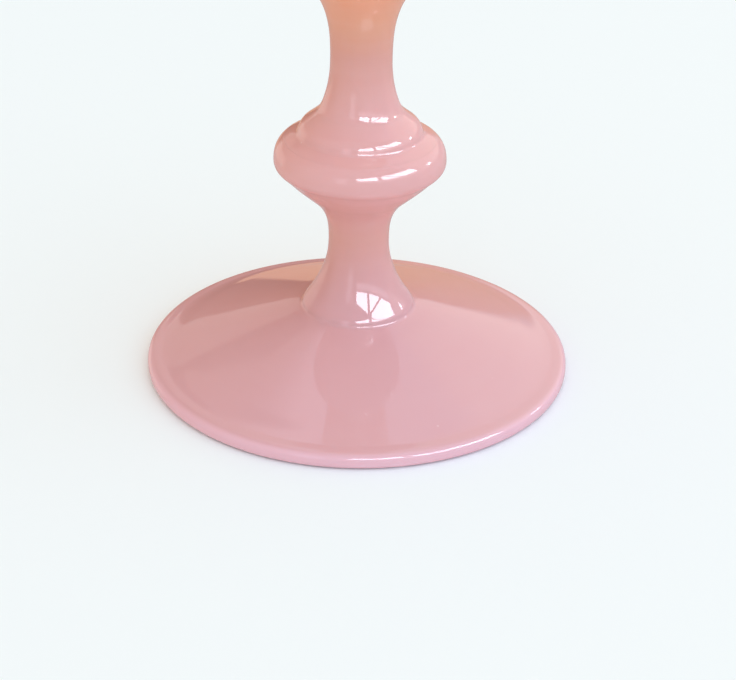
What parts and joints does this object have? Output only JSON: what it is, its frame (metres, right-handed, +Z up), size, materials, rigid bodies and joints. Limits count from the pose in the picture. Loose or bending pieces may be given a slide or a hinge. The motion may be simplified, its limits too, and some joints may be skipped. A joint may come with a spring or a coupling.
{
  "type": "glass candlestick",
  "caption": "Short turned candlestick of milky opaline glass: wide conical foot, slim waisted stem with a ringed knop, and a socket cup for one taper candle.",
  "frame": {"origin": "centre of the foot, on the surface the candlestick stands on", "axes": "+Z up along the candlestick's turning axis; X and Y are free, as the shape is turned about Z"},
  "size_m": [0.1, 0.1, 0.1278],
  "materials": {
    "foot_glass": "fire-polished opaline glass, gloss, rose pink",
    "lower_stem_glass": "fire-polished opaline glass, gloss, rose pink",
    "knop_glass": "fire-polished opaline glass, gloss, rose pink",
    "upper_stem_glass": "fire-polished opaline glass, gloss, pink turning to peach",
    "cup_glass": "fire-polished opaline glass, gloss, peach"
  },
  "bodies": {
    "root": {"foot": "foot_glass", "lower_stem": "lower_stem_glass", "knop_bottom_ring": "knop_glass", "knop_middle_ring": "knop_glass", "knop_upper_ring": "knop_glass", "knop_top_ring": "knop_glass", "upper_stem": "upper_stem_glass", "candle_cup": "cup_glass"}
  },
  "joints": []
}
